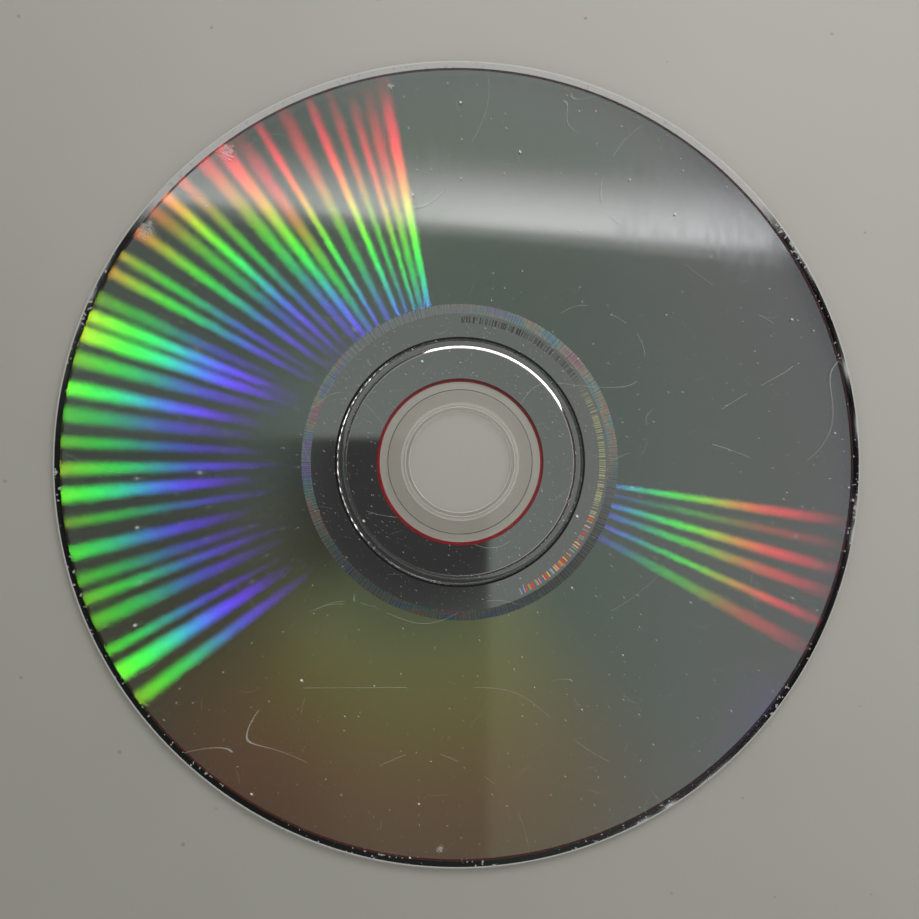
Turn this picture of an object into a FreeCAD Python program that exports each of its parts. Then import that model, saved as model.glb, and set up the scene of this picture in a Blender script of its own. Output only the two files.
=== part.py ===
import FreeCAD
import Part

import os

import Sketcher

# Bonded optical disc, 120 mm: two clear moulded plates that hold a mirror film and cured resin between them,
# printed and varnished on the label side. It lies label side down: z = 0 is the varnish that it rests on,
# and +Z is the disc axis, out of the read side. Lengths are in millimetres.

PARTS_FOLDER = "parts"

# Driving dimensions: alias, value, meaning.
DRIVING = (
    ("disc_radius", 60.0, "outside of both plates"),
    ("hole_radius", 7.5, "centre hole"),
    ("plate_thickness", 0.58, "each plate"),
    ("bond_gap", 0.05, "between the plates"),
    ("mirror_thickness", 0.01, "stands for a film of about 50 nm"),
    ("flood_thickness", 0.012, "ink laid first on the label side"),
    ("overprint_thickness", 0.008, "ink laid second"),
    ("varnish_cover", 0.012, "varnish over the second ink"),
    ("edge_round", 0.12, "outer edge of each plate"),
    ("hole_chamfer", 0.1, "edge of the centre hole in each plate"),
    ("resin_margin", 0.04, "rim left bare inside the edge rounding"),
    ("resin_inner", 10.7, "inner edge of the resin"),
    ("mirror_margin", 0.78, "clear resin left outside the mirror"),
    ("mirror_inner", 12.42, "inner edge of the mirror"),
    ("flood_margin", 0.55, "plate left bare outside the first ink"),
    ("flood_inner", 11.95, "inner edge of the first ink"),
    ("varnish_overlap", 0.15, "varnish past both edges of the first ink"),
    ("land_width", 0.6, "sunk land round the hole, read side"),
    ("land_depth", 0.05, "sunk land round the hole, read side"),
    ("insert_line_gap", 1.3, "from the hole to the line left by the mould's insert, label side"),
    ("insert_line_width", 0.16, "line left by the mould's insert, label side"),
    ("insert_line_depth", 0.05, "line left by the mould's insert, label side"),
    ("ridge_inner", 16.95, "stacking ring, inside of its foot"),
    ("ridge_width", 1.35, "stacking ring, across its foot"),
    ("ridge_slope", 0.26, "stacking ring, run of each flank"),
    ("ridge_height", 0.2, "stacking ring, above the read face"),
    ("ridge_round", 0.07, "stacking ring, edges of its crest"),
    ("rim_band", 0.94, "read face that falls away at the rim"),
    ("rim_drop", 0.02, "how far it falls"),
    ("inner_ring_radius", 21.5, "pale ring nearest the hub, its inner edge"),
    ("inner_ring_width", 0.8, "pale ring nearest the hub"),
    ("broad_ring_gap", 1.7, "red between it and the broad pale ring"),
    ("broad_ring_width", 5.0, "broad pale ring"),
    ("outer_ring_inset", 3.0, "red outside the outer pale ring"),
    ("outer_ring_width", 0.8, "outer pale ring"),
)

# Heights and radii that follow from them: alias, formula.
DERIVED = (
    ("flood_bottom", "=varnish_cover + overprint_thickness"),
    ("label_face", "=flood_bottom + flood_thickness"),
    ("bond_bottom", "=label_face + plate_thickness"),
    ("bond_top", "=bond_bottom + bond_gap"),
    ("mirror_bottom", "=bond_top - mirror_thickness"),
    ("read_face", "=bond_top + plate_thickness"),
    ("rim_face", "=read_face - rim_drop"),
    ("land_face", "=read_face - land_depth"),
    ("land_radius", "=hole_radius + land_width"),
    ("insert_line_radius", "=hole_radius + insert_line_gap"),
    ("ridge_top", "=read_face + ridge_height"),
    ("ridge_outer", "=ridge_inner + ridge_width"),
    ("crest_inner", "=ridge_inner + ridge_slope"),
    ("crest_outer", "=ridge_outer - ridge_slope"),
    ("resin_outer", "=disc_radius - edge_round - resin_margin"),
    ("mirror_outer", "=resin_outer - mirror_margin"),
    ("flood_outer", "=disc_radius - flood_margin"),
    ("varnish_inner", "=flood_inner - varnish_overlap"),
    ("varnish_outer", "=flood_outer + varnish_overlap"),
    ("inner_ring_outer", "=inner_ring_radius + inner_ring_width"),
    ("broad_ring_radius", "=inner_ring_outer + broad_ring_gap"),
    ("broad_ring_outer", "=broad_ring_radius + broad_ring_width"),
    ("outer_ring_outer", "=flood_outer - outer_ring_inset"),
    ("outer_ring_radius", "=outer_ring_outer - outer_ring_width"),
)

# The pale rings printed over the first ink: name, inner and outer radius.
PALE_RINGS = (
    ("inner_ring", "dims.inner_ring_radius", "dims.inner_ring_outer"),
    ("broad_ring", "dims.broad_ring_radius", "dims.broad_ring_outer"),
    ("outer_ring", "dims.outer_ring_radius", "dims.outer_ring_outer"),
)


def make_sheet(doc):
    """The spreadsheet that holds every dimension under its alias."""
    sheet = doc.addObject("Spreadsheet::Sheet", "dims")
    rows = [(alias, str(value), meaning) for alias, value, meaning in DRIVING]
    rows += [(alias, formula, "") for alias, formula in DERIVED]
    for number, (alias, content, meaning) in enumerate(rows, start=1):
        sheet.set(f"A{number}", content)
        sheet.setAlias(f"A{number}", alias)
        sheet.set(f"B{number}", meaning)
    doc.recompute()
    return sheet


def make_body(doc, label):
    """An empty body; its label names its file."""
    body = doc.addObject("PartDesign::Body", label)
    body.Label = label
    return body


def new_sketch(body, name, plane):
    """A sketch on one of the body's own origin planes."""
    sketch = body.newObject("Sketcher::SketchObject", name)
    support = next(item for item in body.Origin.OriginFeatures if item.Role == plane)
    sketch.AttachmentSupport = [(support, "")]
    sketch.MapMode = "FlatFace"
    return sketch


def bind(sketch, constraint, name, expression):
    """Adds a constraint and ties its value to the sheet."""
    index = sketch.addConstraint(constraint)
    sketch.renameConstraint(index, name)
    sketch.setExpression(f"Constraints.{name}", expression)


def section(body, name, corners):
    """A closed outline of straight edges beside the disc axis; a corner is a radius and a height."""
    sketch = new_sketch(body, name, "XZ_Plane")
    places = [
        FreeCAD.Vector(sketch.evalExpression(radius), sketch.evalExpression(height), 0)
        for radius, height in corners
    ]
    following = places[1:] + places[:1]
    for start, end in zip(places, following):
        sketch.addGeometry(Part.LineSegment(start, end), False)
    last = len(places) - 1
    for edge in range(len(places)):
        before = edge - 1 if edge else last
        sketch.addConstraint(Sketcher.Constraint("Coincident", before, 2, edge, 1))
    for edge, (place, (radius, height)) in enumerate(zip(places, corners)):
        across = Sketcher.Constraint("DistanceX", -1, 1, edge, 1, place.x)
        bind(sketch, across, f"radius_{edge}", radius)
        up = Sketcher.Constraint("DistanceY", -1, 1, edge, 1, place.y)
        bind(sketch, up, f"height_{edge}", height)
    return sketch


def spin(body, name, corners, kind="PartDesign::Revolution"):
    """Turns a section right round the disc axis."""
    outline = section(body, name + "_section", corners)
    feature = body.newObject(kind, name)
    feature.Profile = outline
    feature.ReferenceAxis = (outline, ["V_Axis"])
    feature.Angle = 360
    body.Document.recompute()
    return feature


def cut_groove(body, name, corners):
    """Cuts a section right round the disc axis, and makes sure that it took something away."""
    before = body.Shape.Volume
    spin(body, name, corners, "PartDesign::Groove")
    if body.Shape.Volume >= before:
        raise RuntimeError(f"{name} cuts nothing from {body.Label}")


def circles(body, radius, height):
    """Names of the body's circular edges at that radius and height."""
    found = [
        f"Edge{number}"
        for number, edge in enumerate(body.Shape.Edges, start=1)
        if isinstance(edge.Curve, Part.Circle)
        and abs(edge.Curve.Radius - radius) < 1e-5
        and abs(edge.Curve.Center.z - height) < 1e-5
    ]
    if not found:
        raise RuntimeError(f"{body.Label} has no edge of radius {radius:g} at height {height:g}")
    return found


def dress_edges(body, kind, name, edges, size):
    """A fillet or a chamfer on those edges, with its size from the sheet."""
    base = body.Tip
    feature = body.newObject(kind, name)
    feature.Base = (base, edges)
    feature.setExpression("Radius" if kind == "PartDesign::Fillet" else "Size", size)
    body.Document.recompute()


def film(doc, label, inner, outer, bottom, thickness):
    """A flat ring of film: two circles padded to its thickness, set at its height."""
    body = make_body(doc, label)
    outline = new_sketch(body, label + "_outline", "XY_Plane")
    for number, expression in enumerate((inner, outer)):
        radius = outline.evalExpression(expression)
        outline.addGeometry(Part.Circle(FreeCAD.Vector(), FreeCAD.Vector(0, 0, 1), radius), False)
        outline.addConstraint(Sketcher.Constraint("Coincident", number, 3, -1, 1))
        bind(outline, Sketcher.Constraint("Radius", number, radius), f"radius_{number}", expression)
    pad = body.newObject("PartDesign::Pad", label + "_pad")
    pad.Profile = outline
    pad.setExpression("Length", thickness)
    body.setExpression("Placement.Base.z", bottom)
    doc.recompute()
    return body


def read_side_plate(doc, sheet):
    """The clear plate that is read through: stacking ring, sunk land at the hole and falling rim."""
    body = make_body(doc, "read_side_plate")
    spin(body, "read_blank", (
        ("dims.hole_radius", "dims.bond_top"),
        ("dims.disc_radius", "dims.bond_top"),
        ("dims.disc_radius", "dims.read_face"),
        ("dims.hole_radius", "dims.read_face"),
    ))
    spin(body, "stacking_ring", (
        ("dims.ridge_inner", "dims.read_face"),
        ("dims.ridge_outer", "dims.read_face"),
        ("dims.crest_outer", "dims.ridge_top"),
        ("dims.crest_inner", "dims.ridge_top"),
    ))
    cut_groove(body, "sunk_land", (
        ("dims.hole_radius / 2", "dims.land_face"),
        ("dims.land_radius", "dims.land_face"),
        ("dims.land_radius", "dims.ridge_top"),
        ("dims.hole_radius / 2", "dims.ridge_top"),
    ))
    cut_groove(body, "falling_rim", (
        ("dims.disc_radius - dims.rim_band", "dims.read_face"),
        ("dims.disc_radius", "dims.rim_face"),
        ("dims.disc_radius + dims.rim_band", "dims.rim_face"),
        ("dims.disc_radius + dims.rim_band", "dims.read_face"),
    ))
    crest = circles(body, sheet.crest_inner, sheet.ridge_top)
    crest += circles(body, sheet.crest_outer, sheet.ridge_top)
    dress_edges(body, "PartDesign::Fillet", "crest_round", crest, "dims.ridge_round")
    rim = circles(body, sheet.disc_radius, sheet.rim_face)
    dress_edges(body, "PartDesign::Fillet", "read_rim_round", rim, "dims.edge_round")
    hole = circles(body, sheet.hole_radius, sheet.land_face)
    dress_edges(body, "PartDesign::Chamfer", "read_hole_chamfer", hole, "dims.hole_chamfer")
    return body


def label_side_plate(doc, sheet):
    """The clear plate that carries the print, with the line that its mould's insert leaves."""
    body = make_body(doc, "label_side_plate")
    spin(body, "label_blank", (
        ("dims.hole_radius", "dims.label_face"),
        ("dims.disc_radius", "dims.label_face"),
        ("dims.disc_radius", "dims.bond_bottom"),
        ("dims.hole_radius", "dims.bond_bottom"),
    ))
    cut_groove(body, "insert_line", (
        ("dims.insert_line_radius - dims.insert_line_width / 2", "dims.label_face"),
        ("dims.insert_line_radius + dims.insert_line_width / 2", "dims.label_face"),
        ("dims.insert_line_radius", "dims.label_face + dims.insert_line_depth"),
    ))
    rim = circles(body, sheet.disc_radius, sheet.label_face)
    dress_edges(body, "PartDesign::Fillet", "label_rim_round", rim, "dims.edge_round")
    hole = circles(body, sheet.hole_radius, sheet.label_face)
    dress_edges(body, "PartDesign::Chamfer", "label_hole_chamfer", hole, "dims.hole_chamfer")
    return body


def bonding_resin(doc):
    """Cured resin that fills the gap between the plates, round the mirror and under it."""
    body = make_body(doc, "bonding_resin")
    spin(body, "resin_layer", (
        ("dims.resin_inner", "dims.bond_bottom"),
        ("dims.resin_outer", "dims.bond_bottom"),
        ("dims.resin_outer", "dims.bond_top"),
        ("dims.mirror_outer", "dims.bond_top"),
        ("dims.mirror_outer", "dims.mirror_bottom"),
        ("dims.mirror_inner", "dims.mirror_bottom"),
        ("dims.mirror_inner", "dims.bond_top"),
        ("dims.resin_inner", "dims.bond_top"),
    ))
    return body


def label_varnish(doc):
    """Clear varnish over the print, level underneath, with a pocket round each pale ring."""
    body = make_body(doc, "label_varnish")
    spin(body, "varnish_layer", (
        ("dims.varnish_inner", "0"),
        ("dims.varnish_outer", "0"),
        ("dims.varnish_outer", "dims.label_face"),
        ("dims.flood_outer", "dims.label_face"),
        ("dims.flood_outer", "dims.flood_bottom"),
        ("dims.flood_inner", "dims.flood_bottom"),
        ("dims.flood_inner", "dims.label_face"),
        ("dims.varnish_inner", "dims.label_face"),
    ))
    for name, inner, outer in PALE_RINGS:
        cut_groove(body, name + "_pocket", (
            (inner, "dims.varnish_cover"),
            (outer, "dims.varnish_cover"),
            (outer, "dims.flood_bottom"),
            (inner, "dims.flood_bottom"),
        ))
    return body


def pale_ring(doc, name, inner, outer):
    """One printed ring: a flat cylinder less the cylinder inside it."""
    cylinders = []
    for part_name, radius in ((name + "_disc", outer), (name + "_core", inner)):
        cylinder = doc.addObject("Part::Cylinder", part_name)
        cylinder.setExpression("Radius", radius)
        cylinder.setExpression("Height", "dims.overprint_thickness")
        cylinder.setExpression("Placement.Base.z", "dims.varnish_cover")
        cylinders.append(cylinder)
    ring = doc.addObject("Part::Cut", name)
    ring.Base, ring.Tool = cylinders
    return ring


def label_ring_ink(doc):
    """The pale rings, printed in one pass over the first ink."""
    rings = [pale_ring(doc, *values) for values in PALE_RINGS]
    group = doc.addObject("Part::Compound", "label_ring_ink")
    group.Label = "label_ring_ink"
    group.Links = rings
    doc.recompute()
    return group


def check_document(doc, pieces):
    """Stops if any object failed or any piece has no sound shape."""
    for item in doc.Objects:
        if "Invalid" in item.State or "Error" in item.State:
            raise RuntimeError(f"{item.Name} failed: {item.State}")
    for piece in pieces:
        if piece.Shape.isNull() or not piece.Shape.isValid() or not piece.Shape.Solids:
            raise RuntimeError(f"{piece.Label} has no sound shape")


def main():
    """Builds the disc and writes each piece as parts/LABEL.step."""
    doc = FreeCAD.newDocument("optical_disc")
    sheet = make_sheet(doc)
    pieces = [
        read_side_plate(doc, sheet),
        film(
            doc, "reflective_film", "dims.mirror_inner", "dims.mirror_outer",
            "dims.mirror_bottom", "dims.mirror_thickness",
        ),
        bonding_resin(doc),
        label_side_plate(doc, sheet),
        film(
            doc, "label_flood_ink", "dims.flood_inner", "dims.flood_outer",
            "dims.flood_bottom", "dims.flood_thickness",
        ),
        label_ring_ink(doc),
        label_varnish(doc),
    ]
    doc.recompute()
    check_document(doc, pieces)
    os.makedirs(PARTS_FOLDER, exist_ok=True)
    for piece in pieces:
        piece.Shape.exportStep(os.path.join(PARTS_FOLDER, piece.Label + ".step"))
        box = piece.Shape.BoundBox
        solids = len(piece.Shape.Solids)
        print(f"{piece.Label}: {solids} solid(s), {piece.Shape.Volume:.2f} mm3, z {box.ZMin:.3f} to {box.ZMax:.3f}")


main()
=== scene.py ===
import logging
import math
import random
from dataclasses import dataclass
from enum import Enum, IntEnum
from typing import Dict, List, Sequence, Tuple, Union

import bpy
from mathutils import Matrix, Vector


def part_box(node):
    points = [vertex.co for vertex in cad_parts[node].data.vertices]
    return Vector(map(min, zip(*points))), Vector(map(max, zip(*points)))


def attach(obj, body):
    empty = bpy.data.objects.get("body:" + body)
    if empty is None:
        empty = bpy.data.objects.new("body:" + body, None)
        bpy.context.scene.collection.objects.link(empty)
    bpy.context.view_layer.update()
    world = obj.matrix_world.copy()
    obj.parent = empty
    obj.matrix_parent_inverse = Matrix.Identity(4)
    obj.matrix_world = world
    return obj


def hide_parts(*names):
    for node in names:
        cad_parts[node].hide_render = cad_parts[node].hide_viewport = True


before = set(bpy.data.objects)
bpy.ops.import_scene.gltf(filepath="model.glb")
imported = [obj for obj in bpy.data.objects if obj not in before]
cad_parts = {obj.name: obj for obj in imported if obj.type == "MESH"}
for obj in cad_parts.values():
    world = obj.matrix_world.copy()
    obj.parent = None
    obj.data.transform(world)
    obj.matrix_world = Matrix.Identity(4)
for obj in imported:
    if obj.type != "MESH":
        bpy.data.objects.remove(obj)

LOG = logging.getLogger("optical_disc")
BODY = "root"
MM = 0.001
UM = 0.001 * MM
STEPS = 384
CREASE = math.radians(24.0)

# Radii that several pieces share, in millimetres.
HOLE = 7.5
HOLE_CHAMFER = 0.1
RESIN_INNER = 10.7
RESIN_OUTER = 59.84
FILM_INNER = 12.42
VARNISH_INNER = 11.8
INK_INNER = 11.95
EDGE_ROUND = 0.12

Colour = Tuple[float, float, float]
Socket = bpy.types.NodeSocket
Value = Union[float, Tuple[float, ...], bpy.types.NodeSocket]
Fade = Tuple[float, float, float, float]


# --------------------------------------------------------------------------------------------------
# Node trees
# --------------------------------------------------------------------------------------------------


class Nodes:
    """Adds and links the nodes of one tree."""

    def __init__(self, tree: bpy.types.NodeTree) -> None:
        """Keeps the tree of a material, world or group."""
        self.tree = tree

    def add(self, kind: str, **settings: object) -> bpy.types.Node:
        """Adds a node.

        Args:
            kind: the node's type name.
            **settings: attributes of the node to set.

        Returns:
            The new node.
        """
        node = self.tree.nodes.new(kind)
        for name, value in settings.items():
            setattr(node, name, value)
        return node

    def plug(self, value: Value, socket: Socket) -> None:
        """Feeds a socket.

        Args:
            value: an output to link, or a plain value to set.
            socket: the input to feed.
        """
        if isinstance(value, bpy.types.NodeSocket):
            self.tree.links.new(value, socket)
        elif socket.type == "RGBA" and len(value) == 3:
            socket.default_value = (*value, 1.0)
        else:
            socket.default_value = value

    def math(self, operation: str, *values: Value, clamp: bool = False) -> Socket:
        """Adds a Math node.

        Args:
            operation: the node's operation.
            *values: its inputs.
            clamp: whether the result is held between 0 and 1.

        Returns:
            The result.
        """
        node = self.add("ShaderNodeMath", operation=operation, use_clamp=clamp)
        for value, socket in zip(values, node.inputs):
            self.plug(value, socket)
        return node.outputs[0]

    def vector(self, operation: str, *values: Value) -> Socket:
        """Adds a Vector Math node.

        Args:
            operation: the node's operation.
            *values: its vector inputs.

        Returns:
            The resulting vector.
        """
        node = self.add("ShaderNodeVectorMath", operation=operation)
        for value, socket in zip(values, node.inputs):
            self.plug(value, socket)
        return node.outputs["Vector"]

    def scaled(self, vector: Value, factor: Value) -> Socket:
        """Scales a vector.

        Args:
            vector: the vector.
            factor: how much longer it becomes.

        Returns:
            The scaled vector.
        """
        node = self.add("ShaderNodeVectorMath", operation="SCALE")
        self.plug(vector, node.inputs[0])
        self.plug(factor, node.inputs["Scale"])
        return node.outputs["Vector"]

    def point(self, x: Value, y: Value, z: Value = 0.0) -> Socket:
        """Joins three numbers into a vector.

        Args:
            x: the first number.
            y: the second number.
            z: the third number.

        Returns:
            The vector.
        """
        node = self.add("ShaderNodeCombineXYZ")
        for value, socket in zip((x, y, z), node.inputs):
            self.plug(value, socket)
        return node.outputs[0]

    def split(self, vector: Socket) -> Tuple[Socket, Socket, Socket]:
        """Takes a vector apart.

        Args:
            vector: the vector.

        Returns:
            Its three numbers.
        """
        node = self.add("ShaderNodeSeparateXYZ")
        self.plug(vector, node.inputs[0])
        return node.outputs[0], node.outputs[1], node.outputs[2]

    def span(
        self, value: Value, low: float, high: float, to_low: float = 0.0, to_high: float = 1.0,
    ) -> Socket:
        """Maps one range of values smoothly onto another, held at both ends.

        Args:
            value: the value to map.
            low: where the first range starts.
            high: where the first range ends.
            to_low: the result at low.
            to_high: the result at high.

        Returns:
            The mapped value.
        """
        node = self.add("ShaderNodeMapRange", interpolation_type="SMOOTHSTEP")
        limits = {"From Min": low, "From Max": high, "To Min": to_low, "To Max": to_high}
        for name, number in limits.items():
            node.inputs[name].default_value = number
        self.plug(value, node.inputs["Value"])
        return node.outputs["Result"]

    def noise(self, place: Value, scale: float, detail: float = 0.0) -> Socket:
        """Adds a two-dimensional noise texture.

        Args:
            place: where it is read.
            scale: features per unit of place.
            detail: octaves of finer noise.

        Returns:
            The noise, mostly from 0.3 to 0.7.
        """
        node = self.add("ShaderNodeTexNoise", noise_dimensions="2D")
        node.inputs["Scale"].default_value = scale
        node.inputs["Detail"].default_value = detail
        self.plug(place, node.inputs["Vector"])
        return node.outputs["Fac"]

    def ramp(self, factor: Value, stops: Sequence[Tuple[float, Colour]], steps: bool = False) -> Socket:
        """Adds a colour ramp.

        Args:
            factor: where along the ramp to read.
            stops: position and colour of each stop, in order.
            steps: whether the colours change in steps.

        Returns:
            The colour.
        """
        node = self.add("ShaderNodeValToRGB")
        node.color_ramp.interpolation = "CONSTANT" if steps else "LINEAR"
        elements = node.color_ramp.elements
        while len(elements) < len(stops):
            elements.new(0.5)
        for element, (position, colour) in zip(elements, stops):
            element.position = position
            element.color = (*colour, 1.0)
        self.plug(factor, node.inputs["Fac"])
        return node.outputs["Color"]

    def blend(self, factor: Value, first: Value, second: Value, kind: str = "MIX") -> Socket:
        """Mixes two colours.

        Args:
            factor: the second colour's share.
            first: the first colour.
            second: the second colour.
            kind: how they are mixed.

        Returns:
            The mix.
        """
        node = self.add("ShaderNodeMix", data_type="RGBA", blend_type=kind)
        inputs = {socket.identifier: socket for socket in node.inputs}
        self.plug(factor, inputs["Factor_Float"])
        self.plug(first, inputs["A_Color"])
        self.plug(second, inputs["B_Color"])
        return next(socket for socket in node.outputs if socket.identifier == "Result_Color")

    def group(self, tree: bpy.types.NodeTree, **values: Value) -> Dict[str, Socket]:
        """Places a group with its own values.

        Args:
            tree: the group.
            **values: its inputs, with _ for a space.

        Returns:
            Its outputs by name.
        """
        node = self.add("ShaderNodeGroup", node_tree=tree)
        for name, value in values.items():
            self.plug(value, node.inputs[name.replace("_", " ")])
        return {socket.name: socket for socket in node.outputs}

    def principled(self, **values: Value) -> bpy.types.Node:
        """Adds a Principled shader.

        Args:
            **values: its inputs, with _ for a space.

        Returns:
            The node.
        """
        node = self.add("ShaderNodeBsdfPrincipled")
        for name, value in values.items():
            self.plug(value, node.inputs[name.replace("_", " ")])
        return node

    def bump(self, height: Socket, strength: float, distance: float) -> Socket:
        """Adds a Bump node.

        Args:
            height: the relief.
            strength: how much of it shows.
            distance: its depth in metres.

        Returns:
            The normal.
        """
        node = self.add("ShaderNodeBump")
        node.inputs["Strength"].default_value = strength
        node.inputs["Distance"].default_value = distance
        self.plug(height, node.inputs["Height"])
        return node.outputs["Normal"]

    def mixed(self, factor: Value, first: Socket, second: Socket) -> Socket:
        """Mixes two shaders.

        Args:
            factor: the second shader's share.
            first: the first shader.
            second: the second shader.

        Returns:
            The mix.
        """
        node = self.add("ShaderNodeMixShader")
        self.plug(factor, node.inputs["Fac"])
        self.plug(first, node.inputs[1])
        self.plug(second, node.inputs[2])
        return node.outputs[0]


def new_material(name: str) -> Tuple[bpy.types.Material, Nodes, Socket]:
    """Makes an empty material.

    Args:
        name: the material's name.

    Returns:
        The material, its tree, and the socket that takes its surface.
    """
    material = bpy.data.materials.new(name)
    material.use_nodes = True
    material.node_tree.nodes.clear()
    nodes = Nodes(material.node_tree)
    return material, nodes, nodes.add("ShaderNodeOutputMaterial").inputs["Surface"]


class SocketKind(Enum):
    """The kinds of socket that a group has."""

    NUMBER = "NodeSocketFloat"
    VECTOR = "NodeSocketVector"


class GroupMaker:
    """Makes one shader node group with named sockets."""

    def __init__(self, name: str) -> None:
        """Starts an empty group.

        Args:
            name: the group's name.
        """
        self.tree = bpy.data.node_groups.new(name, "ShaderNodeTree")
        self.nodes = Nodes(self.tree)
        self._inlet = self.nodes.add("NodeGroupInput")
        self._outlet = self.nodes.add("NodeGroupOutput")

    def take(self, name: str, default: Value, kind: SocketKind = SocketKind.NUMBER) -> Socket:
        """Adds an input.

        Args:
            name: the input's name.
            default: its value where nothing feeds it.
            kind: its kind.

        Returns:
            The socket that carries it inside the group.
        """
        socket = self.tree.interface.new_socket(name=name, in_out="INPUT", socket_type=kind.value)
        socket.default_value = default
        return self._inlet.outputs[name]

    def give(self, name: str, value: Socket, kind: SocketKind = SocketKind.NUMBER) -> None:
        """Adds an output.

        Args:
            name: the output's name.
            value: what it carries.
            kind: its kind.
        """
        self.tree.interface.new_socket(name=name, in_out="OUTPUT", socket_type=kind.value)
        self.nodes.plug(value, self._outlet.inputs[name])


class DiscGroups:
    """The effects that the disc's finishes share, each a node group that is built once."""

    def __init__(self) -> None:
        """Builds the groups."""
        self.polar = self._polar()
        self.lean = self._lean()
        self.dust = self._dust()
        self.hairlines = self._hairlines()
        self.smears = self._smears()
        self.grain = self._grain()
        self.scuff = self._scuff()
        self.nicks = self._nicks()

    @staticmethod
    def _polar() -> bpy.types.NodeTree:
        """Place on the disc: Radius and Flat in millimetres, Turn from -0.5 to 0.5, Outward a direction.

        Returns:
            The group.
        """
        maker = GroupMaker("disc_polar")
        nodes = maker.nodes
        place = nodes.scaled(nodes.add("ShaderNodeTexCoord").outputs["Object"], 1.0 / MM)
        flat = nodes.vector("MULTIPLY", place, (1.0, 1.0, 0.0))
        length = nodes.add("ShaderNodeVectorMath", operation="LENGTH")
        nodes.plug(flat, length.inputs[0])
        across, up, _ = nodes.split(place)
        angle = nodes.math("ARCTAN2", up, across)
        maker.give("Radius", length.outputs["Value"])
        maker.give("Turn", nodes.math("DIVIDE", angle, 2.0 * math.pi))
        maker.give("Outward", nodes.vector("NORMALIZE", flat), SocketKind.VECTOR)
        maker.give("Flat", flat, SocketKind.VECTOR)
        return maker.tree

    @staticmethod
    def _lean() -> bpy.types.NodeTree:
        """The surface normal, leant outward by a rise per unit.

        Returns:
            The group.
        """
        maker = GroupMaker("leant_normal")
        nodes = maker.nodes
        outward = maker.take("Outward", (1.0, 0.0, 0.0), SocketKind.VECTOR)
        lean = maker.take("Lean", 0.0)
        normal = nodes.add("ShaderNodeNewGeometry").outputs["Normal"]
        leant = nodes.vector("ADD", normal, nodes.scaled(outward, lean))
        maker.give("Normal", nodes.vector("NORMALIZE", leant), SocketKind.VECTOR)
        return maker.tree

    @staticmethod
    def _dust() -> bpy.types.NodeTree:
        """Specks of dust: Mask is 1 on a speck. Spacing is in millimetres, Size a share of it.

        Returns:
            The group.
        """
        maker = GroupMaker("dust_specks")
        nodes = maker.nodes
        flat = maker.take("Flat", (0.0, 0.0, 0.0), SocketKind.VECTOR)
        spacing = maker.take("Spacing", 2.0)
        size = maker.take("Size", 0.06)
        share = maker.take("Share", 0.5)
        ragged = nodes.math("MULTIPLY", nodes.math("SUBTRACT", nodes.noise(flat, 11.0, 1.0), 0.5), 0.5)
        place = nodes.vector("ADD", flat, nodes.point(ragged, nodes.math("MULTIPLY", ragged, -0.8)))
        cells = nodes.add("ShaderNodeTexVoronoi", voronoi_dimensions="2D")
        cells.inputs["Scale"].default_value = 1.0
        nodes.plug(nodes.scaled(place, nodes.math("DIVIDE", 1.0, spacing)), cells.inputs["Vector"])
        chance, spread, _ = nodes.split(cells.outputs["Color"])
        radius = nodes.math("MULTIPLY", size, nodes.math("MULTIPLY_ADD", spread, 0.8, 0.2))
        spot = nodes.math("LESS_THAN", cells.outputs["Distance"], radius)
        maker.give("Mask", nodes.math("MULTIPLY", spot, nodes.math("LESS_THAN", chance, share)))
        return maker.tree

    @staticmethod
    def _hairlines() -> bpy.types.NodeTree:
        """Hairline scratches: Mask is 1 on a scratch. Pace is in features per millimetre.

        Returns:
            The group.
        """
        maker = GroupMaker("hairline_scratches")
        nodes = maker.nodes
        flat = maker.take("Flat", (0.0, 0.0, 0.0), SocketKind.VECTOR)
        pace = maker.take("Pace", 0.05)
        width = maker.take("Width", 0.0008)
        share = maker.take("Share", 0.4)
        course = nodes.noise(nodes.scaled(flat, pace), 1.0)
        line = nodes.math("LESS_THAN", nodes.math("ABSOLUTE", nodes.math("SUBTRACT", course, 0.5)), width)
        moved = nodes.vector("ADD", nodes.scaled(flat, nodes.math("MULTIPLY", pace, 3.0)), (17.0, 5.0, 0.0))
        limit = nodes.math("MULTIPLY_ADD", share, -0.4, 0.7)
        present = nodes.math("GREATER_THAN", nodes.noise(moved, 1.0), limit)
        maker.give("Mask", nodes.math("MULTIPLY", line, present))
        return maker.tree

    @staticmethod
    def _smears() -> bpy.types.NodeTree:
        """Faint handling smears: Haze from 0 to 1 over the surface.

        Returns:
            The group.
        """
        maker = GroupMaker("handling_smears")
        nodes = maker.nodes
        flat = maker.take("Flat", (0.0, 0.0, 0.0), SocketKind.VECTOR)
        broad = nodes.noise(flat, 0.045, 2.0)
        fine = nodes.noise(nodes.vector("MULTIPLY", flat, (1.0, 0.25, 1.0)), 0.6, 3.0)
        maker.give("Haze", nodes.math("MULTIPLY", nodes.span(broad, 0.42, 0.68), nodes.span(fine, 0.3, 0.7)))
        return maker.tree

    @staticmethod
    def _grain() -> bpy.types.NodeTree:
        """Screen-printed grain: Shade about 1, and Height of the ink's surface from 0 to 1.

        Returns:
            The group.
        """
        maker = GroupMaker("print_grain")
        nodes = maker.nodes
        flat = maker.take("Flat", (0.0, 0.0, 0.0), SocketKind.VECTOR)
        depth = maker.take("Depth", 0.15)
        coarse = nodes.noise(flat, 0.35, 4.0)
        mesh = nodes.noise(flat, 9.0, 2.0)
        both = nodes.math("MULTIPLY_ADD", mesh, 0.6, nodes.math("MULTIPLY", coarse, 0.4))
        maker.give("Shade", nodes.math("MULTIPLY_ADD", nodes.math("SUBTRACT", both, 0.5), depth, 1.0))
        maker.give("Height", both)
        return maker.tree

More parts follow.
